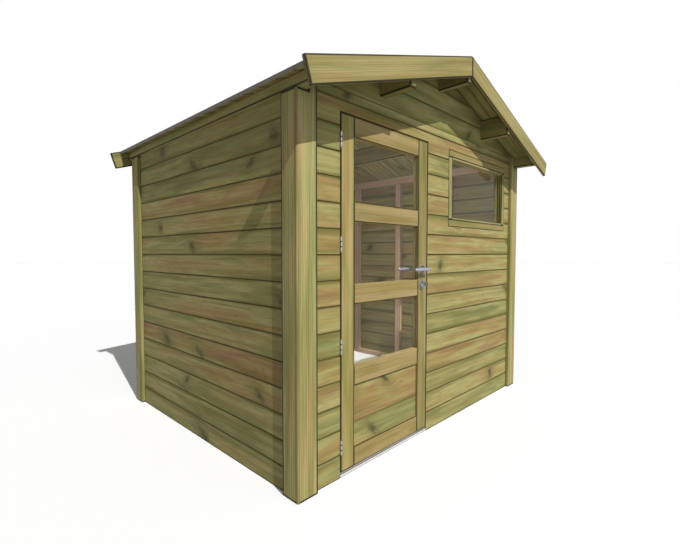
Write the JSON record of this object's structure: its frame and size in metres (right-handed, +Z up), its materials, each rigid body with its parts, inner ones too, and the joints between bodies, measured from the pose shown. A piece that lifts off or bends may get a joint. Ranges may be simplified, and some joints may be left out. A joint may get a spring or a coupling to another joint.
{
  "type": "wooden garden shed",
  "caption": "Small timber garden shed with corner posts, horizontal board walls, a low pitched roof, a glazed hinged door with lever and lock, and a fixed window.",
  "frame": {"origin": "on the ground, under the middle of the box round the whole shed, bargeboards included", "axes": "+Z up, the door and window face -Y, +X to the right when looking at the front"},
  "size_m": [2.75, 2.3, 2.3842],
  "materials": {
    "planed_timber": "satin",
    "wall_boards": "satin",
    "frame_timber": "matte",
    "roof_felt": "matte",
    "glass": "gloss",
    "door_hardware": "satin",
    "lock_brass": "satin"
  },
  "bodies": {
    "shed": {"corner_post_front_left": "planed_timber", "corner_post_front_right": "planed_timber", "corner_post_back_left": "planed_timber", "corner_post_back_right": "planed_timber", "left_wall": "wall_boards", "right_wall": "wall_boards", "back_wall": "wall_boards", "back_gable": "wall_boards", "front_wall_left": "wall_boards", "front_wall_over_door": "wall_boards", "front_wall_right": "wall_boards", "front_gable": "wall_boards", "side_wall_plates": "frame_timber", "side_wall_studs": "frame_timber", "back_wall_plates": "frame_timber", "back_wall_studs": "frame_timber", "front_wall_plates": "frame_timber", "front_wall_studs": "frame_timber", "front_wall_rails": "frame_timber", "eave_beams": "planed_timber", "purlins": "planed_timber", "ridge_beam": "planed_timber", "verge_battens": "planed_timber", "roof_deck_left": "wall_boards", "roof_deck_right": "wall_boards", "roof_felt": "roof_felt", "front_bargeboard_left": "planed_timber", "front_bargeboard_right": "planed_timber", "back_bargeboard_left": "planed_timber", "back_bargeboard_right": "planed_timber", "door_jambs": "frame_timber", "door_head": "frame_timber", "threshold": "planed_timber", "hinge_frame_plates": "door_hardware", "window_casing_rails": "planed_timber", "window_casing_stiles": "planed_timber", "window_lining_rails": "planed_timber", "window_lining_stiles": "planed_timber", "window_pane": "glass"},
    "door": {"door_stiles": "planed_timber", "door_rails": "planed_timber", "door_panes": "glass", "door_panel": "wall_boards", "hinge_door_plates": "door_hardware", "lever_roses": "door_hardware", "lock_roses": "door_hardware", "lock_cylinder": "door_hardware"},
    "lever": {"door_lever": "door_hardware"},
    "key": {"lock_plug": "lock_brass", "key": "door_hardware"}
  },
  "joints": [
    {"name": "door_swing", "type": "hinge", "parent": "shed", "child": "door", "pos_m": [-0.9465, -0.934, 1], "axis": [0, 0, -1], "range_deg": [0, 120]},
    {"name": "lever_turn", "type": "hinge", "parent": "door", "child": "lever", "pos_m": [-0.212, -0.908, 1.064], "axis": [0, -1, 0], "range_deg": [0, 45], "stiffness_Nm_per_rad": 1, "springref_deg": -20.05},
    {"name": "key_turn", "type": "hinge", "parent": "door", "child": "key", "pos_m": [-0.212, -0.908, 0.973], "axis": [0, -1, 0], "range_deg": [0, 360]}
  ]
}
